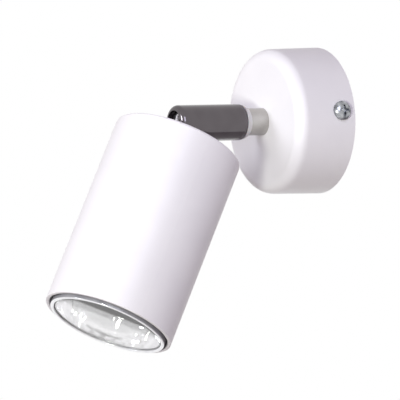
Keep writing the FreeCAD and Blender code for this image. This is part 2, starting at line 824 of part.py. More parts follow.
def lamp_contacts():
    """Two contacts behind the lamp's pins, each with a post that grips its wire."""
    post = rod(wire_r, contact_back - contact_post_length, contact_back, pin_spacing / 2)
    disc = rod(pin_head_r - slide_gap, contact_back, lamp_base_end - pin_length - slide_gap, pin_spacing / 2)
    contact = post.fuse(disc).removeSplitter()
    return Part.makeCompound([contact, half_turn(contact)])


def can_earth_screw():
    screw = pan_screw(m3_thread_r, m3_head_r, m3_head_h, tag_sheet + bracket_sheet)
    frame = Placement(Vector(can_earth_offset, 0, bracket_floor + tag_sheet), Rotation())
    return place(screw, frame)


def can_earth_tag():
    tag = ring_tag(m3_thread_r + hole_gap, bracket_floor)
    return place(tag, Placement(Vector(can_earth_offset, 0, 0), Rotation()))


# Lamp


def bowl_edge(face_r, neck_r, face_h, neck_h):
    """Curve of a reflector bowl from its wide end, where it narrows only a little, to its neck."""
    depth = (1 - bowl_depth_share) * (face_h - neck_h)
    control = Vector(face_r - depth * math.tan(math.radians(bowl_mouth_angle)), 0, face_h - depth)
    curve = Part.BezierCurve()
    curve.setPoles([Vector(face_r, 0, face_h), control, Vector(neck_r, 0, neck_h)])
    return curve.toShape()


def front_glass_r():
    return lamp_r - lamp_glass_wall - slide_gap


def lamp_reflector():
    """Glass bowl with a straight rim at the front and an open neck at the back."""
    rim_back = lamp_face - lamp_rim_length
    neck_front_w = lamp_face - lamp_neck_from_face
    inner_neck_r = lamp_neck_r - lamp_glass_wall
    recess_r = front_glass_r() + hole_gap
    seat_r = recess_r - lamp_glass_seat
    rim = [
        Vector(lamp_r, 0, rim_back), Vector(lamp_r, 0, lamp_face), Vector(recess_r, 0, lamp_face),
        Vector(recess_r, 0, front_glass_back), Vector(seat_r, 0, front_glass_back),
    ]
    outline = [Part.makeLine(a, b) for a, b in zip(rim, rim[1:])]
    outline.append(Part.makeLine(Vector(inner_neck_r, 0, neck_front_w), Vector(lamp_neck_r, 0, neck_front_w)))
    outline.append(bowl_edge(lamp_r, lamp_neck_r, rim_back, neck_front_w))
    outline.append(bowl_edge(seat_r, inner_neck_r, front_glass_back, neck_front_w))
    return Part.Face(Part.Wire(Part.__sortEdges__(outline))).revolve(Vector(0, 0, 0), Z_AXIS, 360)


def lamp_front_glass():
    return rod(front_glass_r(), front_glass_back, front_glass_back + front_glass_height)


def domed_rod(radius, start, dome_centre):
    """Round bar along local Z with a round end."""
    return rod(radius, start, dome_centre).fuse(Part.makeSphere(radius, Vector(0, 0, dome_centre)))


def lamp_capsule():
    """Clear burner with a domed tip and a flat pinch held in the lamp's base."""
    dome_centre = capsule_tip - capsule_r
    tube = domed_rod(capsule_r, capsule_shoulder, dome_centre)
    hollow = domed_rod(capsule_r - capsule_wall, capsule_shoulder + capsule_wall, dome_centre)
    half_x = capsule_r - bore_gap
    half_y = capsule_pinch / 2
    pinch = block(-half_x, half_x, -half_y, half_y, capsule_back, capsule_shoulder + capsule_wall / 2)
    return tube.fuse(pinch).cut(hollow).removeSplitter()


def lamp_filament():
    """Filament across the top of its two leads, drawn as one bent bar."""
    foot = capsule_shoulder + capsule_wall
    top = (foot + capsule_tip) / 2
    half = filament_length / 2
    corners = [Vector(-half, 0, foot), Vector(-half, 0, top), Vector(half, 0, top), Vector(half, 0, foot)]
    return wire_along(corners, filament_r)


def lamp_base():
    """Ceramic foot cemented round the reflector's neck."""
    front = lamp_face - lamp_base_from_face
    half_x = pin_spacing / 2 + lamp_base_past_pins
    body = block(-half_x, half_x, -lamp_base_half_y, lamp_base_half_y, lamp_base_end, front)
    middle = (lamp_base_end + front) / 2
    body = body.makeFillet(lamp_base_corner_radius, edges_at(body, lambda c: abs(c.z - middle) < 1e-6))
    body = body.fuse(rod(lamp_neck_r + lamp_collar_wall, front - lamp_collar_length, front))
    body = body.cut(rod(lamp_neck_r + 2 * lamp_collar_wall, lamp_face - lamp_neck_from_face, front))
    half_slot = capsule_pinch / 2 + hole_gap
    body = body.cut(block(-capsule_r, capsule_r, -half_slot, half_slot, capsule_back, front))
    for side in (-1, 1):
        body = body.cut(rod(pin_neck_r, lamp_base_end, lamp_base_end + pin_set_depth, side * pin_spacing / 2))
    return body.removeSplitter()


def lamp_pins():
    """Two headed contact pins set into the lamp's base."""
    pins = []
    for side in (-1, 1):
        x = side * pin_spacing / 2
        stem = rod(pin_neck_r, lamp_base_end - pin_neck_length, lamp_base_end + pin_set_depth, x)
        head = rod(pin_head_r, lamp_base_end - pin_length, lamp_base_end - pin_neck_length, x)
        tip = edges_at(head, lambda c: abs(c.z - lamp_base_end + pin_length) < 1e-6)
        head = head.makeFillet(pin_edge_radius, tip)
        pins.append(stem.fuse(head).removeSplitter())
    return Part.makeCompound(pins)


# Wires: each runs from the base through the neck and the arm, over the hinge pin and into the can


def lane(angle):
    """Place of one wire in a round bore, seen along the bore."""
    return wire_lane_r * math.cos(math.radians(angle)), wire_lane_r * math.sin(math.radians(angle))


wire_lanes = {"line": lane(210), "neutral": lane(330), "earth": lane(90)}
lower_lane_y = hinge_pin_r + hole_gap + wire_r
hinge_lanes = {
    "line": (-wire_r - wire_gap / 2, lower_lane_y),
    "neutral": (wire_r + wire_gap / 2, lower_lane_y),
    "earth": (0.0, lower_lane_y + earth_lane_share * wire_r),
}
wire_ends = {"line": -pole_pitch / 2, "neutral": pole_pitch / 2}
rise_start = neck_front + wire_past_tip
rise_end = insert_back - slide_gap
loop_start = fork_back + wire_past_fork
block_side = block_width / 2 - block_drop


def base_route(name):
    """From the neck's back end, over the block and round to its sleeves, or to the earth screw."""
    x, y = wire_lanes[name]
    room = neck_back - block_top
    if name == "earth":
        tag_y = earth_screw_height + tag_ring_r + tag_neck
        height = strap_thickness + tag_barrel_wall + wire_r
        return [
            Vector(x, y, neck_back), Vector(x, y, neck_back - 0.43 * room),
            Vector(x, block_side + 4.5, block_top + 0.43 * room), Vector(x, tag_y + 5, block_top - 1.5),
            Vector(x, tag_y + 7, height), Vector(x, tag_y, height),
        ]
    end_x = wire_ends[name]
    height = sleeve_height()
    end_y = sleeve_length / 2 - block_drop - wire_into_sleeve
    return [
        Vector(x, y, neck_back), Vector(x, y, neck_back - 0.66 * room),
        Vector(0.45 * end_x, block_side + 3, block_top + 0.15 * room),
        Vector(end_x, block_side + 12, block_top), Vector(end_x, block_side + 13, height),
        Vector(end_x, end_y, height),
    ]


def arm_route(name):
    """Along the neck's bore, then up to the window above the hinge pin."""
    x, y = wire_lanes[name]
    top_x, top_y = hinge_lanes[name]
    return [
        Vector(x, y, neck_back), Vector(x, y, rise_start), Vector(top_x, top_y, rise_end),
        Vector(top_x, top_y, loop_start),
    ]


def head_to_arm(point):
    """A point given from the pivot along the can, in the arm's local frame."""
    return ARM.inverse().multVec(HEAD.multVec(point))


def hinge_route(name):
    """Over the hinge pin and down in front of it, between the knuckle's ears."""
    top_x, top_y = hinge_lanes[name]
    x, y = wire_lanes[name]
    over = Vector(top_x, top_y, pivot_u + top_y + bore_gap)
    return [
        Vector(top_x, top_y, loop_start), over,
        head_to_arm(Vector(x, y, knuckle_flange_top - wire_in_channel)), head_to_arm(Vector(x, y, can_top)),
    ]


def head_route(name):
    """From the knuckle's bore to the lampholder, or to the earth screw in the can."""
    x, y = wire_lanes[name]
    leave = [Vector(x, y, can_top), Vector(x, y, stem_end + wire_past_stem)]
    if name == "earth":
        tag_y = tag_ring_r + tag_neck
        height = bracket_floor + tag_barrel_wall + wire_r
        return leave + [
            Vector(0.4 * can_earth_offset, tag_y + 2.5, stem_end + 5.5),
            Vector(can_earth_offset - 1, tag_y + 10.4, stem_end + 1),
            Vector(can_earth_offset, tag_y + 9.9, height), Vector(can_earth_offset, tag_y, height),
        ]
    end_x = math.copysign(pin_spacing / 2, x)
    entry = Vector(end_x, 0, holder_back - wire_past_stem)
    return leave + [entry, Vector(end_x, 0, contact_back - contact_post_length)]


nodes = {
    "wall_bracket": place(wall_bracket(), ARM),
    "base_cover": place(base_cover(), ARM),
    "cover_screws": place(cover_screws(), ARM),
    "terminal_block": place(terminal_block(), ARM),
    "terminal_sleeves": place(terminal_sleeves(), ARM),
    "terminal_screws": place(terminal_screws(), ARM),
    "terminal_fixing_screw": place(terminal_fixing_screw(), ARM),
    "earth_screw": place(earth_screw(), ARM),
    "earth_tag": place(earth_tag(), ARM),
    "neck": place(neck(), ARM),
    "neck_lock_nut": place(neck_lock_nut(), ARM),
    "neck_tooth_washer": place(neck_tooth_washer(), ARM),
    "swivel_washer": place(swivel_washer(), ARM),
    "stop_washer": place(stop_washer(), ARM),
    "swivel_disc_spring": place(swivel_disc_spring(), ARM),
    "swivel_nut": place(swivel_nut(), ARM),
    "arm_tube": place(arm_tube(), ARM),
    "swivel_bush": place(swivel_bush(), ARM),
    "stop_pin": place(stop_pin(), ARM),
    "hinge_insert": place(hinge_insert(), ARM),
    "hinge_pin": place(hinge_pin(), ARM),
    "tilt_washers": place(tilt_washers(), ARM),
    "knuckle": place(knuckle(), HEAD),
    "lamp_can": place(lamp_can(), HEAD),
    "can_nut": place(can_nut(), HEAD),
    "can_tooth_washer": place(can_tooth_washer(), HEAD),
    "holder_bracket": place(holder_bracket(), HEAD),
    "holder_screws": place(holder_screws(), HEAD),
    "lampholder": place(lampholder(), HEAD),
    "lamp_contacts": place(lamp_contacts(), HEAD),
    "can_earth_screw": place(can_earth_screw(), HEAD),
    "can_earth_tag": place(can_earth_tag(), HEAD),
    "lamp_reflector": place(lamp_reflector(), HEAD),
    "lamp_front_glass": place(lamp_front_glass(), HEAD),
    "lamp_capsule": place(lamp_capsule(), HEAD),
    "lamp_filament": place(lamp_filament(), HEAD),
    "lamp_base": place(lamp_base(), HEAD),
    "lamp_pins": place(lamp_pins(), HEAD),
}
for wire_name in wire_lanes:
    nodes[wire_name + "_wire_in_base"] = place(wire_along(base_route(wire_name)), ARM)
    nodes[wire_name + "_wire_in_arm"] = place(wire_along(arm_route(wire_name)), ARM)
    nodes[wire_name + "_wire_at_hinge"] = place(wire_along(hinge_route(wire_name)), ARM)
    nodes[wire_name + "_wire_in_can"] = place(wire_along(head_route(wire_name)), HEAD)

os.makedirs("parts", exist_ok=True)
for name, shape in nodes.items():
    shape.exportStep("parts/" + name + ".step")
    print(name, len(shape.Solids), shape.isValid(), round(shape.Volume, 1))
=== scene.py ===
import json
import math

import bpy
from mathutils import Matrix, Vector

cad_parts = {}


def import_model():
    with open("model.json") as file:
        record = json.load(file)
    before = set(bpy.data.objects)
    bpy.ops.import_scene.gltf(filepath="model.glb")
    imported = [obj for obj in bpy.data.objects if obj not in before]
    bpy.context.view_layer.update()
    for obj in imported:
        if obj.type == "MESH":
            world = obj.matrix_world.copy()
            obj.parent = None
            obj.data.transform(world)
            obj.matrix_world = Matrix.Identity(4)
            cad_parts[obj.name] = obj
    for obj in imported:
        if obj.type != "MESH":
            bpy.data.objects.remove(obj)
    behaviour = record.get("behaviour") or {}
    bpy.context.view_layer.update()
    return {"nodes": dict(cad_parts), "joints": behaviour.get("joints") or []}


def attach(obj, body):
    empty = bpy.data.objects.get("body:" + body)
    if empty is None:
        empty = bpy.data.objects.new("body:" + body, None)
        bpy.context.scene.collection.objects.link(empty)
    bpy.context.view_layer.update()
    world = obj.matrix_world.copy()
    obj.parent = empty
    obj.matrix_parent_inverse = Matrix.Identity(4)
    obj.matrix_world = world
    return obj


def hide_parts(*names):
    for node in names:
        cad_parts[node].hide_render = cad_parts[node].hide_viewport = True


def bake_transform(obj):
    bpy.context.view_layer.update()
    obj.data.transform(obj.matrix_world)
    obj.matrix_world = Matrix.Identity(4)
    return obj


# Looks of the pivoting spotlight wall light, in metres, in the frame of its construction.
# The wall is the plane Y = 0, -Y points out into the room and +Z up.

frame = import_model()
nodes = frame["nodes"]
joints = {joint["name"]: joint for joint in frame["joints"]}

MM = 0.001

# Camera, fitted to the photograph's outlines with the object's own sizes
IMAGE_SIZE = 400
SENSOR = 36.0
CAMERA_AZIMUTH = math.radians(58.98)
CAMERA_ELEVATION = math.radians(-5.50)
CAMERA_ROLL = math.radians(-4.99)
CAMERA_DISTANCE = 2.0
CAMERA_CLIP_END = 50
PIXELS_PER_METRE = 2378.0
FIT_CENTRE = Vector((0.0, -0.040, -0.030))
FIT_CENTRE_PX = (241.92, 192.88)

# Placement of everything turned about the lamp's axis: local Z runs from the tilt pivot out of the can
pivot = Vector(joints["lamp_twist"]["pos_m"])
lamp_axis = Vector(joints["lamp_twist"]["axis"]).normalized()
ACROSS = Vector((1, 0, 0))
lamp_front = lamp_axis.cross(ACROSS)
LAMP = Matrix.Translation(pivot) @ Matrix((ACROSS, lamp_front, lamp_axis)).transposed().to_4x4()
# The same for what is turned about the arm's axis, from the wall outwards, and for the cover screws
ARM = Matrix.Rotation(math.radians(90), 4, "X")
COVER_SCREWS = Matrix.Rotation(math.radians(90), 4, "Y")


# Shapes

ON_AXIS = 1e-9
END_FACE_DEPTH = 0.01 * MM
# Largest share of an edge that the rounding of its corner takes
ROUNDING_SHARE = 0.45


def extent(points):
    """Lowest and highest corner of the box around some points."""
    low = Vector([min(point[axis] for point in points) for axis in range(3)])
    high = Vector([max(point[axis] for point in points) for axis in range(3)])
    return low, high


def local_box(node, place):
    """Lowest and highest corner of a CAD node in a placement's own frame."""
    inverse = place.inverted()
    return extent([inverse @ vertex.co for vertex in nodes[node].data.vertices])


def end_centre(node, direction):
    """Centre of a CAD node's end face, the one furthest along a direction."""
    points = [vertex.co for vertex in nodes[node].data.vertices]
    reach = max(point.dot(direction) for point in points)
    low, high = extent([point for point in points if point.dot(direction) > reach - END_FACE_DEPTH])
    return (low + high) / 2


def axis_distance(point):
    """Distance of a point from the lamp's axis."""
    away = point - pivot
    return (away - lamp_axis * away.dot(lamp_axis)).length


def mesh_object(name, mesh, sharp_degrees):
    """Smooth-shaded object of a mesh whose edges over an angle stay sharp."""
    mesh.polygons.foreach_set("use_smooth", [True] * len(mesh.polygons))
    mesh.set_sharp_from_angle(angle=math.radians(sharp_degrees))
    piece = bpy.data.objects.new(name, mesh)
    bpy.context.scene.collection.objects.link(piece)
    return piece


def new_object(name, vertices, faces, sharp_degrees=35):
    """Smooth-shaded object of new vertices and faces."""
    mesh = bpy.data.meshes.new(name)
    mesh.from_pydata(vertices, [], faces)
    mesh.validate()
    return mesh_object(name, mesh, sharp_degrees)


def rounded(outline, radius, steps=5):
    """Closed outline of (radius, height) points with its corners off the axis rounded."""
    result = []
    count = len(outline)
    for k in range(count):
        corner = Vector(outline[k])
        if corner.x < ON_AXIS:
            result.append(tuple(corner))
            continue
        before = Vector(outline[k - 1]) - corner
        after = Vector(outline[(k + 1) % count]) - corner
        turn = math.pi - before.angle(after)
        reach = min(radius * math.tan(turn / 2), ROUNDING_SHARE * before.length,
                    ROUNDING_SHARE * after.length)
        start = corner + before.normalized() * reach
        end = corner + after.normalized() * reach
        for step in range(steps + 1):
            t = step / steps
            result.append(tuple(start * (1 - t) ** 2 + corner * 2 * t * (1 - t) + end * t ** 2))
    return result


def turned(name, outline, place, segments, shift=None):
    """Solid turned about a placement's Z axis from a closed outline.

    shift says how far a point moves outwards, from its number in the outline and its share of a full turn.
    """
    vertices = []
    rings = []
    for k, (radius, height) in enumerate(outline):
        if radius < ON_AXIS:
            rings.append([len(vertices)])
            vertices.append(place @ Vector((0, 0, height)))
            continue
        ring = []
        for s in range(segments):
            angle = 2 * math.pi * s / segments
            r = radius + (shift(k, s / segments) if shift else 0)
            ring.append(len(vertices))
            vertices.append(place @ Vector((r * math.cos(angle), r * math.sin(angle), height)))
        rings.append(ring)
    faces = []
    for k in range(len(rings)):
        lower, upper = rings[k], rings[(k + 1) % len(rings)]
        if len(lower) == 1 and len(upper) == 1:
            continue
        for s in range(segments):
            t = (s + 1) % segments
            if len(lower) == 1:
                faces.append((lower[0], upper[t], upper[s]))
            elif len(upper) == 1:
                faces.append((lower[s], lower[t], upper[0]))
            else:
                faces.append((lower[s], lower[t], upper[t], upper[s]))
    return new_object(name, vertices, faces)


def tube(name, points, radius, smooth, sides, divisions):
    """Round bar with closed ends, along a smooth line held by control points or straight between them."""
    curve = bpy.data.curves.new(name, "CURVE")
    curve.dimensions = "3D"
    spline = curve.splines.new("NURBS" if smooth else "POLY")
    spline.points.add(len(points) - 1)
    for point, place in zip(spline.points, points):
        point.co = (*place, 1)
    if smooth:
        spline.order_u = 3
        spline.use_endpoint_u = True
    spline.resolution_u = divisions
    curve.bevel_depth = radius
    curve.bevel_resolution = sides // 4
    curve.use_fill_caps = True
    holder = bpy.data.objects.new(name + "_line", curve)
    bpy.context.scene.collection.objects.link(holder)
    bpy.context.view_layer.update()
    mesh = bpy.data.meshes.new_from_object(holder.evaluated_get(bpy.context.evaluated_depsgraph_get()))
    bpy.data.objects.remove(holder)
    mesh.name = name
    return mesh_object(name, mesh, sharp_degrees=50)


# Materials


class Finish:
    """A procedural material under construction."""

    def __init__(self, name, colour, metallic, roughness, **sockets):
        self.material = bpy.data.materials.new(name)
        self.material.use_nodes = True
        self.tree = self.material.node_tree
        self.shader = self.tree.nodes["Principled BSDF"]
        self.shader.inputs["Base Color"].default_value = (*colour, 1)
        self.shader.inputs["Metallic"].default_value = metallic
        self.shader.inputs["Roughness"].default_value = roughness
        for socket, value in sockets.items():
            self.shader.inputs[socket.replace("_", " ")].default_value = value
        self.flat = self.coordinates()
        self.colour = colour
        self.mixed = None
        self.normal = None

    def node(self, kind, **settings):
        """New node with some of its settings."""
        made = self.tree.nodes.new(kind)
        for key, value in settings.items():
            setattr(made, key, value)
        return made

    def link(self, output, socket):
        self.tree.links.new(output, socket)

    def coordinates(self, place=None, scale=(1, 1, 1)):
        """Object coordinates in a placement's own frame, each axis stretched by its scale."""
        source = self.node("ShaderNodeTexCoord").outputs["Object"]
        if place is not None:
            turn = self.node("ShaderNodeMapping", vector_type="TEXTURE")
            turn.inputs["Location"].default_value = place.to_translation()
            turn.inputs["Rotation"].default_value = place.to_euler()
            self.link(source, turn.inputs["Vector"])
            source = turn.outputs["Vector"]
        stretch = self.node("ShaderNodeMapping")
        stretch.inputs["Scale"].default_value = scale
        self.link(source, stretch.inputs["Vector"])
        return stretch.outputs["Vector"]

    def noise(self, vector, size, detail, distortion=0.0):
        """Noise whose features are about size metres wide."""
        made = self.node("ShaderNodeTexNoise")
        made.inputs["Scale"].default_value = 1 / size
        made.inputs["Detail"].default_value = detail
        made.inputs["Distortion"].default_value = distortion
        self.link(vector, made.inputs["Vector"])
        return made.outputs["Fac"]

    def spread(self, value, low, high, start=0.3, end=0.7):
        """A value spread over a new range."""
        made = self.node("ShaderNodeMapRange")
        made.inputs["From Min"].default_value = start
        made.inputs["From Max"].default_value = end
        made.inputs["To Min"].default_value = low
        made.inputs["To Max"].default_value = high
        self.link(value, made.inputs["Value"])
        return made.outputs["Result"]

    def tint(self, value, other, start, end):
        """Base colour that drifts towards another one as a value goes from start to end."""
        made = self.node("ShaderNodeMix", data_type="RGBA")
        self.link(self.spread(value, 0.0, 1.0, start, end), made.inputs["Factor"])
        made.inputs["A"].default_value = (*self.colour, 1)
        made.inputs["B"].default_value = (*other, 1)
        if self.mixed is not None:
            self.link(self.mixed, made.inputs["A"])
        self.mixed = made.outputs["Result"]
        self.link(self.mixed, self.shader.inputs["Base Color"])

    def bump(self, height, depth):
        """Relief of a height field, depth metres deep."""
        made = self.node("ShaderNodeBump")
        made.inputs["Distance"].default_value = depth
        self.link(height, made.inputs["Height"])
        if self.normal is not None:
            self.link(self.normal, made.inputs["Normal"])
        self.normal = made.outputs["Normal"]
        self.link(self.normal, self.shader.inputs["Normal"])

    def clouds(self, size, other, detail=3, distortion=0.0, start=0.35, end=0.65):
        """Clouds of another colour, about size metres wide."""
        self.tint(self.noise(self.flat, size, detail, distortion), other, start, end)

    def wear(self, size, low, high, detail=3, distortion=0.0):
        """Roughness that drifts between two values over about size metres."""
        self.link(self.spread(self.noise(self.flat, size, detail, distortion), low, high),
                  self.shader.inputs["Roughness"])

    def relief(self, size, depth, detail=3):
        """Even relief with features about size metres wide."""
        self.bump(self.noise(self.flat, size, detail), depth)


def powder_coat(name, colour, shade, roughness):
    """Satin paint with a fine orange-peel surface."""
    finish = Finish(name, colour, metallic=0.0, roughness=roughness, IOR=1.45)
    finish.clouds(22 * MM, shade)
    finish.wear(3 * MM, roughness - 0.05, roughness + 0.07)
    finish.relief(0.9 * MM, 0.010 * MM, detail=1.5)
    finish.relief(0.22 * MM, 0.0025 * MM, detail=2)
    return finish.material


def turned_metal(name, colour, shade, roughness, place, line=0.12 * MM, depth=0.0012 * MM, stain_and_painted_reflection_size=6 * MM):
    """Metal with fine rings left by turning or polishing about a placement's axis."""
    finish = Finish(name, colour, metallic=1.0, roughness=roughness)
    rings = finish.coordinates(place, scale=(0.02, 0.02, 1))
    finish.clouds(stain_and_painted_reflection_size, shade)
    finish.wear(1.6 * MM, roughness * 0.85, roughness * 1.2, detail=4, distortion=0.4)
    finish.bump(finish.noise(rings, line, detail=3), depth)
    return finish.material


def plated_steel(name, colour, shade, roughness):
    """Zinc-plated or pressed metal with a cloudy plating and rolled grain."""
    finish = Finish(name, colour, metallic=1.0, roughness=roughness)
    grain = finish.coordinates(scale=(1, 0.08, 1))
    finish.clouds(3.5 * MM, shade, detail=5, distortion=0.8)
    finish.wear(1.2 * MM, roughness - 0.08, roughness + 0.12, detail=5)
    finish.bump(finish.noise(grain, 0.5 * MM, detail=4), 0.004 * MM)
    return finish.material


def moulded(name, colour, shade, roughness, depth=0.006 * MM, **sockets):
    """Moulded plastic or insulation with a faint eroded texture."""
    finish = Finish(name, colour, metallic=0.0, roughness=roughness, **sockets)
    finish.clouds(5 * MM, shade)
    finish.wear(0.8 * MM, roughness - 0.06, roughness + 0.08)
    finish.relief(0.18 * MM, depth)
    return finish.material


def steatite():
    """Unglazed steatite ceramic: off-white, speckled and slightly rough."""
    finish = Finish("ceramic", (0.80, 0.77, 0.70), metallic=0.0, roughness=0.55)
    finish.clouds(0.7 * MM, (0.68, 0.64, 0.57), detail=4, start=0.55, end=0.75)
    finish.wear(1.5 * MM, 0.45, 0.65)
    finish.relief(0.3 * MM, 0.02 * MM, detail=4)
    return finish.material


# Depths behind the lamp's face between which the bowl's bright coating gives way to a painted shade, which
# stands in for the shade deep inside the bowl
MIRROR_PAINTED_SHADE = (0.55, 0.55, 0.56)
MIRROR_BRIGHT_DEPTH = 7 * MM
MIRROR_DARK_DEPTH = 9 * MM


def mirror_coat():
    """Thin mirror coating on the glass of the lamp's bowl, with shade painted into it darker towards the
    neck.
    """
    finish = Finish("lamp_mirror", (0.975, 0.97, 0.98), metallic=1.0, roughness=0.03)
    finish.clouds(4 * MM, (0.94, 0.935, 0.95), detail=4, distortion=0.6)
    mouth = local_box("lamp_reflector", LAMP)[1].z
    along = finish.node("ShaderNodeSeparateXYZ")
    finish.link(finish.coordinates(LAMP), along.inputs["Vector"])
    # Painted shade: the coating's colour turns darker grey with depth towards the neck
    finish.tint(along.outputs["Z"], MIRROR_PAINTED_SHADE, mouth - MIRROR_BRIGHT_DEPTH, mouth - MIRROR_DARK_DEPTH)
    finish.wear(1.5 * MM, 0.01, 0.05, detail=4)
    finish.relief(0.9 * MM, 0.0008 * MM, detail=2)
    return finish.material


def clear_glass(roughness=0.004, waves=6 * MM):
    """Clear glass with the faint waviness of a pressed surface."""
    finish = Finish("clear_glass", (1.0, 1.0, 1.0), metallic=0.0, roughness=roughness, IOR=1.5,
                    Transmission_Weight=1.0)
    finish.wear(2 * waves, roughness * 0.5, roughness * 1.8)
    finish.relief(waves, 0.0004 * MM, detail=2)
    return finish.material


def silvered_rim():
    """Front of the lamp's rim, where the coating behind the glass shines through."""
    finish = Finish("silvered_rim", (0.96, 0.96, 0.97), metallic=1.0, roughness=0.16)
    finish.clouds(2 * MM, (0.88, 0.88, 0.91))
    finish.wear(0.8 * MM, 0.10, 0.24)
    finish.relief(1.2 * MM, 0.003 * MM, detail=2)
    return finish.material


def quartz():
    """Drawn quartz of the burner, a little cloudy."""
    finish = Finish("quartz", (0.97, 0.97, 0.98), metallic=0.0, roughness=0.05, IOR=1.46,
                    Transmission_Weight=0.95)
    finish.clouds(3 * MM, (0.93, 0.92, 0.92))
    finish.wear(1.5 * MM, 0.02, 0.12)
    finish.relief(1.8 * MM, 0.01 * MM, detail=2)
    return finish.material


def earth_insulation(stripe_scale=210):
    """Green insulation with yellow stripes along it."""
    finish = Finish("earth_insulation", (0.015, 0.12, 0.03), metallic=0.0, roughness=0.42)
    stripe = finish.node("ShaderNodeTexWave", bands_direction="X")
    stripe.inputs["Scale"].default_value = stripe_scale
    stripe.inputs["Phase Offset"].default_value = math.pi / 2
    finish.link(finish.flat, stripe.inputs["Vector"])
    finish.tint(stripe.outputs["Fac"], (0.55, 0.42, 0.02), start=0.86, end=0.90)
    finish.wear(0.8 * MM, 0.36, 0.5)
    finish.relief(0.2 * MM, 0.005 * MM)
    return finish.material


looks = {
    "white_paint": powder_coat("white_paint", (0.87, 0.865, 0.875), (0.84, 0.835, 0.85), 0.42),
    "black_chrome": turned_metal("black_chrome", (0.135, 0.122, 0.130), (0.125, 0.112, 0.120), 0.13, ARM,
                                 depth=0.0002 * MM),
    "neck_grey": turned_metal("neck_grey", (0.49, 0.475, 0.455), (0.45, 0.435, 0.415), 0.38, ARM),
    "pale_nylon": moulded("pale_nylon", (0.66, 0.645, 0.64), (0.61, 0.60, 0.60), 0.45, Subsurface_Weight=0.15,
                          Subsurface_Scale=0.5 * MM),
    # The cover screws' dark clouds are painted reflection: their contrast stands in for the bright and dark
    # reflections on the domed heads
    "screw_chrome": turned_metal("screw_chrome", (0.46, 0.47, 0.49), (0.10, 0.105, 0.12), 0.24, COVER_SCREWS,
                                 line=0.08 * MM, stain_and_painted_reflection_size=2.6 * MM),
    "zinc_steel": plated_steel("zinc_steel", (0.60, 0.60, 0.59), (0.50, 0.51, 0.52), 0.34),
    "dark_zinc": plated_steel("dark_zinc", (0.34, 0.34, 0.35), (0.25, 0.25, 0.27), 0.36),
    "nickel_stem": turned_metal("nickel_stem", (0.62, 0.59, 0.55), (0.55, 0.52, 0.48), 0.26, LAMP),
    "brass": turned_metal("brass", (0.78, 0.57, 0.27), (0.66, 0.46, 0.20), 0.28, Matrix.Identity(4),
                          line=0.15 * MM),
    "tinned_tag": plated_steel("tinned_tag", (0.72, 0.71, 0.69), (0.62, 0.61, 0.60), 0.30),
    "contact_metal": plated_steel("contact_metal", (0.70, 0.64, 0.50), (0.60, 0.54, 0.42), 0.28),
    "block_nylon": moulded("block_nylon", (0.74, 0.74, 0.71), (0.68, 0.68, 0.65), 0.5, Subsurface_Weight=0.2,
                           Subsurface_Scale=0.8 * MM),
    "ceramic": steatite(),
    "lamp_mirror": mirror_coat(),
    "clear_glass": clear_glass(),
    "tungsten": turned_metal("tungsten", (0.42, 0.40, 0.38), (0.34, 0.32, 0.30), 0.35, LAMP, line=0.05 * MM),
    "line_insulation": moulded("line_insulation", (0.15, 0.055, 0.025), (0.12, 0.045, 0.02), 0.42),
    "neutral_insulation": moulded("neutral_insulation", (0.02, 0.06, 0.26), (0.016, 0.05, 0.22), 0.42),
    "earth_insulation": earth_insulation(),
    "white_sleeve": moulded("white_sleeve", (0.86, 0.86, 0.85), (0.80, 0.80, 0.79), 0.5, depth=0.004 * MM),
}
rim_front = silvered_rim()
burner_quartz = quartz()
# The lamp's rim side has a dark grey that paints the shade in the gap between the can and the lamp
shaded_rim_side = moulded("shaded_rim_side", (0.32, 0.32, 0.34), (0.24, 0.24, 0.26), 0.17, depth=0.002 * MM)
rim_recess = moulded("rim_recess", (0.50, 0.50, 0.52), (0.42, 0.42, 0.44), 0.40, depth=0.002 * MM)
outer_coat = plated_steel("bowl_back", (0.70, 0.70, 0.72), (0.60, 0.60, 0.63), 0.30)


def dress(piece, slot):
    """Give a new piece the finish of a material slot."""
    piece.data.materials.append(looks[slot])


for node in nodes.values():
    for index, material in enumerate(node.data.materials):
        node.data.materials[index] = looks[material.name.split(".")[0]]


# Lamp's bowl and front glass

GLASS_WALL = 1.4 * MM
SEAT_LIP = 0.7 * MM
LENS_GAP = 0.1 * MM
NECK_RADIUS = 9.5 * MM
RIM_LENGTH = 4.5 * MM
RIM_ROUNDING = 0.35 * MM
RIM_STEPS = 4
# A face whose normal has more than this along the lamp's axis belongs to the rim's front
RIM_FRONT_NORMAL = 0.5
BOWL_ROWS = 72
BOWL_OUTSIDE_ROWS = 24
BOWL_DEPTH_SHARE = 0.35
BOWL_OUTSIDE_ANGLE = math.radians(8)
BOWL_INSIDE_ANGLE = math.radians(15)
FACET_RINGS = 9
FACETS_AROUND = 30
FACET_POINTS = 8
FACET_DEPTH = 0.10 * MM

LENS_SEGMENTS = 160
LENS_ROUNDING = 0.3 * MM
LENS_CROWN = 0.15 * MM
LENS_CROWN_MARGIN = 0.5 * MM
LENS_CROWN_ROWS = 12

bowl_low, bowl_high = local_box("lamp_reflector", LAMP)
lens_low, lens_high = local_box("lamp_front_glass", LAMP)
burner_low, burner_high = local_box("lamp_capsule", LAMP)
filament_low, filament_high = local_box("lamp_filament", LAMP)


def bowl_line(wide, narrow, count, mouth_angle):
    """Points of the bowl's curve from its wide end, flared by an angle, to its neck, as (radius, height)."""
    depth = (1 - BOWL_DEPTH_SHARE) * (wide[1] - narrow[1])
    control = Vector((wide[0] - depth * math.tan(mouth_angle), wide[1] - depth))
    points = []
    for k in range(count + 1):
        t = k / count
        point = Vector(wide) * (1 - t) ** 2 + control * 2 * t * (1 - t) + Vector(narrow) * t ** 2
        points.append((point.x, point.y))
    return points


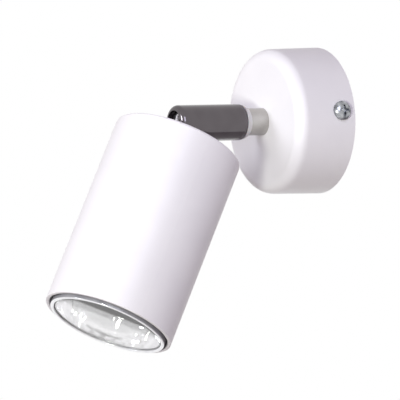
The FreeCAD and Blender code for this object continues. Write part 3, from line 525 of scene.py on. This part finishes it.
def facet(k, around):
    """Depth of the facets at a point of the bowl's inside; every second ring is turned by half a facet."""
    if k > BOWL_ROWS:
        return 0
    rows_per_facet = BOWL_ROWS // FACET_RINGS
    ring_at = (k % rows_per_facet) / rows_per_facet
    offset = 0.5 * ((k // rows_per_facet) % 2)
    side_at = (around * FACETS_AROUND + offset) % 1
    fade = min(1.0, k / rows_per_facet, (BOWL_ROWS - k) / rows_per_facet)
    return FACET_DEPTH * fade * (1 - (2 * ring_at - 1) ** 2) * (1 - (2 * side_at - 1) ** 2)


def lamp_bowl():
    """Pressed glass bowl, its inside coated and pressed into rings of shallow hollow facets."""
    radius, neck_h, face_h = bowl_high.x, bowl_low.z, bowl_high.z
    recess_r = lens_high.x + LENS_GAP
    seat_r, seat_h = recess_r - SEAT_LIP, lens_low.z
    rim_back = face_h - RIM_LENGTH
    inside = bowl_line((seat_r, seat_h), (NECK_RADIUS - GLASS_WALL, neck_h), BOWL_ROWS, BOWL_INSIDE_ANGLE)
    outside = bowl_line((radius, rim_back), (NECK_RADIUS, neck_h), BOWL_OUTSIDE_ROWS, BOWL_OUTSIDE_ANGLE)
    edge = rounded([(seat_r, seat_h), (recess_r, seat_h), (recess_r, face_h), (radius, face_h),
                    (radius, rim_back)], RIM_ROUNDING, RIM_STEPS)
    # The first and the last corner of the edge are the ends of the two curves
    corner = RIM_STEPS + 1
    outline = inside + outside[::-1] + edge[corner:-corner][::-1]
    segments = FACETS_AROUND * FACET_POINTS
    bowl = turned("lamp_bowl", outline, LAMP, segments, facet)
    for finish in (looks["lamp_mirror"], outer_coat, rim_front, shaded_rim_side, rim_recess):
        bowl.data.materials.append(finish)
    mirror, coat, front, side, recess = range(5)
    for face in bowl.data.polygons:
        row = face.index // segments
        if row < BOWL_ROWS:
            face.material_index = mirror
        elif row <= BOWL_ROWS + BOWL_OUTSIDE_ROWS:
            face.material_index = coat
        elif abs(face.normal.dot(lamp_axis)) > RIM_FRONT_NORMAL:
            face.material_index = front
        # The rim's side takes the dark grey of painted shade
        elif axis_distance(face.center) > (radius + recess_r) / 2:
            face.material_index = side
        else:
            face.material_index = recess
    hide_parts("lamp_reflector")
    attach(bowl, "lamp")


def front_lens():
    """Front glass with ground edges, a trace thicker in the middle."""
    radius, back, front = lens_high.x, lens_low.z, lens_high.z
    level = front - LENS_CROWN
    edge = rounded([(0, back), (radius, back), (radius, level), (0, level)], LENS_ROUNDING)
    crown = []
    for k in range(1, LENS_CROWN_ROWS):
        t = 1 - k / LENS_CROWN_ROWS
        crown.append(((radius - LENS_CROWN_MARGIN) * t, front - LENS_CROWN * t ** 2))
    lens = turned("front_lens", edge[:-1] + crown + [(0, front)], LAMP, LENS_SEGMENTS)
    dress(lens, "clear_glass")
    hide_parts("lamp_front_glass")
    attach(lens, "lamp")


# Burner and filament

ENVELOPE_SEGMENTS = 64
ENVELOPE_INSET = 0.15 * MM
ENVELOPE_WALL = 0.9 * MM
DOME_ROWS = 12
DOME_DROP = 0.1 * MM
# Angle before its top at which the outer dome goes over into the sealed-off tip
DOME_STOP = 0.22
TIP_RADIUS = 0.8 * MM

# Share of the burner's length that is pinched flat
PINCH_SHARE = 0.36
PINCH_INSET = 0.3 * MM
PINCH_HALF_THICKNESS = 1.5 * MM
PINCH_POINTS = 32
PINCH_ROWS = 14
# Power that makes the pinch's round section nearly a rectangle
PINCH_POWER = 0.35
PINCH_TAPER = 0.12
PINCH_SWELL = 0.10
PINCH_ROOT = 0.8
PINCH_ROOT_SWELL = 0.22
GROOVE_WIDTH = 0.55
GROOVE_DEPTH = 0.28

COIL_TURNS = 13
COIL_POINTS = 12
COIL_RADIUS = 0.55 * MM
COIL_END_GAP = 0.4 * MM
COIL_WIRE_RADIUS = 0.11 * MM
SUPPORT_RADIUS = 0.22 * MM
SUPPORT_BEND = 1.2 * MM
# Where the supports bow out and where they hook in, as shares of half the coil
SUPPORT_BOW = 1.08
SUPPORT_HOOK = 0.93


def dome(radius, centre, stop=0.0):
    """Outline of a round end from its side to its top, or to an angle before its top."""
    points = []
    for k in range(DOME_ROWS + 1):
        angle = (math.pi / 2 - stop) * k / DOME_ROWS
        points.append((radius * math.cos(angle), centre + radius * math.sin(angle)))
    return points


def envelope_outline(radius, shoulder, tip):
    """Closed outline of the burner's hollow envelope, from its foot over its tip and back inside."""
    outer_r, inner_r = radius - ENVELOPE_INSET, radius - ENVELOPE_WALL
    centre = tip - radius - DOME_DROP
    inner = dome(inner_r, centre)
    outline = [(0, shoulder - 0.2 * MM), (radius * 0.75, shoulder), (outer_r, shoulder + 1.4 * MM)]
    outline += dome(outer_r, centre, DOME_STOP)
    outline += [(TIP_RADIUS, tip - 0.25 * MM), (TIP_RADIUS * 0.5, tip - 0.03 * MM), (0, tip)]
    outline += [(0, inner[-1][1])] + inner[::-1][1:]
    outline += [(inner_r, shoulder + 2.0 * MM), (radius * 0.55, shoulder + 1.0 * MM),
                (0, shoulder + 0.8 * MM)]
    return outline


def pinch_shape(half_width, back, shoulder):
    """Vertices and faces of the burner's flat pinch, grooved on both sides and thicker at its root."""
    ring = []
    for k in range(PINCH_POINTS):
        angle = 2 * math.pi * k / PINCH_POINTS
        c, s = math.cos(angle), math.sin(angle)
        ring.append((math.copysign(abs(c) ** PINCH_POWER, c) * half_width,
                     math.copysign(abs(s) ** PINCH_POWER, s) * PINCH_HALF_THICKNESS))
    vertices = []
    for row in range(PINCH_ROWS + 1):
        t = row / PINCH_ROWS
        middle = math.sin(math.pi * t)
        swell = 1 + PINCH_SWELL * middle + PINCH_ROOT_SWELL * max(0.0, t - PINCH_ROOT)
        for x, y in ring:
            groove = GROOVE_DEPTH * middle if abs(x) < GROOVE_WIDTH * half_width else 0
            vertices.append(LAMP @ Vector((x * (1 - PINCH_TAPER * (1 - t)), y * (1 - groove) * swell,
                                           back + t * (shoulder - back))))
    last = PINCH_ROWS * PINCH_POINTS
    faces = [tuple(range(PINCH_POINTS - 1, -1, -1)), tuple(range(last, last + PINCH_POINTS))]
    for row in range(PINCH_ROWS):
        lower, upper = row * PINCH_POINTS, (row + 1) * PINCH_POINTS
        for k in range(PINCH_POINTS):
            n = (k + 1) % PINCH_POINTS
            faces.append((lower + k, lower + n, upper + n, upper + k))
    return vertices, faces


def burner():
    """Clear quartz burner: a round envelope with a sealed-off tip on a flat pinch."""
    radius, back, tip = burner_high.x, burner_low.z, burner_high.z
    shoulder = back + PINCH_SHARE * (tip - back)
    envelope = turned("burner_envelope", envelope_outline(radius, shoulder, tip), LAMP, ENVELOPE_SEGMENTS)
    envelope.data.materials.append(burner_quartz)
    pinch = new_object("burner_pinch", *pinch_shape(radius - PINCH_INSET, back, shoulder), sharp_degrees=40)
    pinch.data.materials.append(burner_quartz)
    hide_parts("lamp_capsule")
    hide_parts("lamp_capsule")
    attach(envelope, "lamp")
    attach(pinch, "lamp")


def filament():
    """Wound filament across its two bent supports."""
    foot, top = filament_low.z, filament_high.z
    half = filament_high.x - COIL_END_GAP
    axis_h = top - COIL_RADIUS
    steps = COIL_TURNS * COIL_POINTS
    winding = []
    for k in range(steps + 1):
        angle = 2 * math.pi * k / COIL_POINTS
        winding.append(LAMP @ Vector((-half + 2 * half * k / steps, COIL_RADIUS * math.cos(angle),
                                      axis_h + COIL_RADIUS * math.sin(angle))))
    coil = tube("filament_coil", winding, COIL_WIRE_RADIUS, smooth=False, sides=8, divisions=1)
    dress(coil, "tungsten")
    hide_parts("lamp_filament")
    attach(coil, "lamp")
    for name, side in (("filament_support_left", -1), ("filament_support_right", 1)):
        x = side * half
        route = [LAMP @ Vector(point) for point in (
            (x, 0, foot), (x, 0, (foot + top) / 2), (x * SUPPORT_BOW, 0, top - SUPPORT_BEND),
            (x, COIL_RADIUS, axis_h), (x * SUPPORT_HOOK, COIL_RADIUS, axis_h))]
        support = tube(name, route, SUPPORT_RADIUS, smooth=True, sides=8, divisions=8)
        dress(support, "tungsten")
        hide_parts("lamp_filament")
        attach(support, "lamp")


lamp_bowl()
front_lens()
burner()
filament()


# Wires over the hinge pin, from the arm down into the can's stem

WIRE_RADIUS = 0.75 * MM
WIRE_PAST_PIVOT = 0.3 * MM
WIRE_INTO_STEM = 2.2 * MM
OUTWARDS = Vector((0, -1, 0))


def hinge_wire(name):
    """One wire from the arm over the hinge pin and down into the can's stem."""
    start = end_centre(name + "_wire_in_arm", OUTWARDS)
    end = end_centre(name + "_wire_in_can", -lamp_axis)
    past_pivot = Vector((start.x, pivot.y - start.z - WIRE_PAST_PIVOT, start.z))
    into_stem = end - lamp_axis * WIRE_INTO_STEM
    middle = (past_pivot + into_stem) / 2
    route = [start, (start + past_pivot) / 2, past_pivot, middle, into_stem, end]
    wire = tube(name + "_lead_over_pin", route, WIRE_RADIUS, smooth=True, sides=16, divisions=16)
    dress(wire, "white_sleeve")
    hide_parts(name + "_wire_at_hinge")
    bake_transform(wire)


for wire_name in ("line", "neutral", "earth"):
    hinge_wire(wire_name)


# Studio

FLOOR_Z = -0.60
FLOOR_LEFT, FLOOR_RIGHT = -0.85, 0.22
FLOOR_FRONT, FLOOR_BACK = -0.25, 0.65
FLOOR_WHITE_SHARE = 0.88
AMBIENT = (0.294, 0.238, 0.259)
BACKGROUND = (1, 1, 1)


def any_ray(tree, kinds):
    """Value that is 1 for the named kinds of rays and 0 for all others."""
    path = tree.nodes.new("ShaderNodeLightPath")
    value = path.outputs[kinds[0]]
    for kind in kinds[1:]:
        either = tree.nodes.new("ShaderNodeMath")
        either.operation = "MAXIMUM"
        tree.links.new(value, either.inputs[0])
        tree.links.new(path.outputs[kind], either.inputs[1])
        value = either.outputs[0]
    return value


def floor_finish():
    """Pale floor that runs out into the white background, and still takes the object's shadow."""
    finish = Finish("studio_floor", (0.80, 0.80, 0.80), metallic=0.0, roughness=0.7)
    finish.wear(50 * MM, 0.6, 0.8)
    finish.relief(4 * MM, 0.2 * MM)
    share = finish.node("ShaderNodeMath", operation="MULTIPLY")
    share.inputs[1].default_value = FLOOR_WHITE_SHARE
    finish.link(any_ray(finish.tree, ("Is Camera Ray", "Is Transmission Ray")), share.inputs[0])
    white = finish.node("ShaderNodeEmission")
    mix = finish.node("ShaderNodeMixShader")
    finish.link(share.outputs[0], mix.inputs["Fac"])
    finish.link(finish.shader.outputs[0], mix.inputs[1])
    finish.link(white.outputs[0], mix.inputs[2])
    finish.link(mix.outputs[0], finish.tree.nodes["Material Output"].inputs["Surface"])
    return finish.material


def floor():
    corners = [(FLOOR_LEFT, FLOOR_FRONT), (FLOOR_RIGHT, FLOOR_FRONT), (FLOOR_RIGHT, FLOOR_BACK),
               (FLOOR_LEFT, FLOOR_BACK)]
    plane = new_object("studio_floor", [(x, y, FLOOR_Z) for x, y in corners], [(0, 1, 2, 3)])
    plane.data.materials.append(floor_finish())


def soft_light(name, azimuth, elevation, distance, size, power, colour):
    """Square soft light that looks at the object; azimuth 0 is straight out of the wall, 90 along +X."""
    turn, lift = math.radians(azimuth), math.radians(elevation)
    direction = Vector((math.sin(turn) * math.cos(lift), -math.cos(turn) * math.cos(lift), math.sin(lift)))
    light = bpy.data.lights.new(name, "AREA")
    light.shape = "SQUARE"
    light.size = size
    light.energy = power
    light.color = colour
    holder = bpy.data.objects.new(name, light)
    bpy.context.scene.collection.objects.link(holder)
    place = FIT_CENTRE + direction * distance
    holder.location = place
    holder.rotation_euler = (FIT_CENTRE - place).to_track_quat("-Z", "Y").to_euler()
    return holder


def world():
    """Even light on the object, and a white background for the camera, gloss and glass."""
    made = bpy.data.worlds.new("studio")
    bpy.context.scene.world = made
    made.use_nodes = True
    tree = made.node_tree
    tree.nodes.clear()
    mix = tree.nodes.new("ShaderNodeMixShader")
    seen = any_ray(tree, ("Is Camera Ray", "Is Glossy Ray", "Is Transmission Ray"))
    tree.links.new(seen, mix.inputs["Fac"])
    for slot, colour in ((1, AMBIENT), (2, BACKGROUND)):
        surround = tree.nodes.new("ShaderNodeBackground")
        surround.inputs["Color"].default_value = (*colour, 1)
        tree.links.new(surround.outputs[0], mix.inputs[slot])
    output = tree.nodes.new("ShaderNodeOutputWorld")
    tree.links.new(mix.outputs[0], output.inputs["Surface"])


def camera():
    """Camera at the photograph's angle, aimed so that it needs no shift."""
    cos_el, sin_el = math.cos(CAMERA_ELEVATION), math.sin(CAMERA_ELEVATION)
    cos_az, sin_az = math.cos(CAMERA_AZIMUTH), math.sin(CAMERA_AZIMUTH)
    back = Vector((sin_az * cos_el, -cos_az * cos_el, sin_el))
    level = Vector((cos_az, sin_az, 0))
    upright = back.cross(level)
    right = level * math.cos(CAMERA_ROLL) + upright * math.sin(CAMERA_ROLL)
    up = upright * math.cos(CAMERA_ROLL) - level * math.sin(CAMERA_ROLL)
    eye = FIT_CENTRE + back * CAMERA_DISTANCE
    focal_px = PIXELS_PER_METRE * CAMERA_DISTANCE
    aside = (IMAGE_SIZE / 2 - FIT_CENTRE_PX[0]) / focal_px
    above = (FIT_CENTRE_PX[1] - IMAGE_SIZE / 2) / focal_px
    look = (right * aside + up * above - back).normalized()
    right = look.cross(up).normalized()
    up = right.cross(look)
    data = bpy.data.cameras.new("photo_camera")
    data.sensor_width = SENSOR
    data.sensor_fit = "HORIZONTAL"
    data.lens = focal_px / IMAGE_SIZE * SENSOR
    data.clip_end = CAMERA_CLIP_END
    view = bpy.data.objects.new("photo_camera", data)
    bpy.context.scene.collection.objects.link(view)
    view.matrix_world = Matrix.Translation(eye) @ Matrix((right, up, -look)).transposed().to_4x4()
    bpy.context.scene.camera = view


floor()
soft_light("front_light", azimuth=-6, elevation=16, distance=1.30, size=0.30, power=7.4,
           colour=(0.92, 0.94, 1.0))
soft_light("side_light", azimuth=38, elevation=-7, distance=1.30, size=0.20, power=7.9,
           colour=(0.97, 1.0, 0.91))
soft_light("near_light", azimuth=70, elevation=20, distance=0.45, size=0.22, power=0.74,
           colour=(0.79, 0.81, 1.0))
back_light = soft_light("back_light", azimuth=236, elevation=-14, distance=1.30, size=0.40, power=8.0,
                        colour=(0.92, 1.0, 0.96))
back_light.visible_glossy = False
world()
camera()
bpy.context.scene.view_settings.view_transform = "Standard"
# Light turns over many times between the lamp's bowl and its front glass
cycles = bpy.context.scene.cycles
cycles.max_bounces, cycles.glossy_bounces, cycles.transmission_bounces = 24, 10, 16
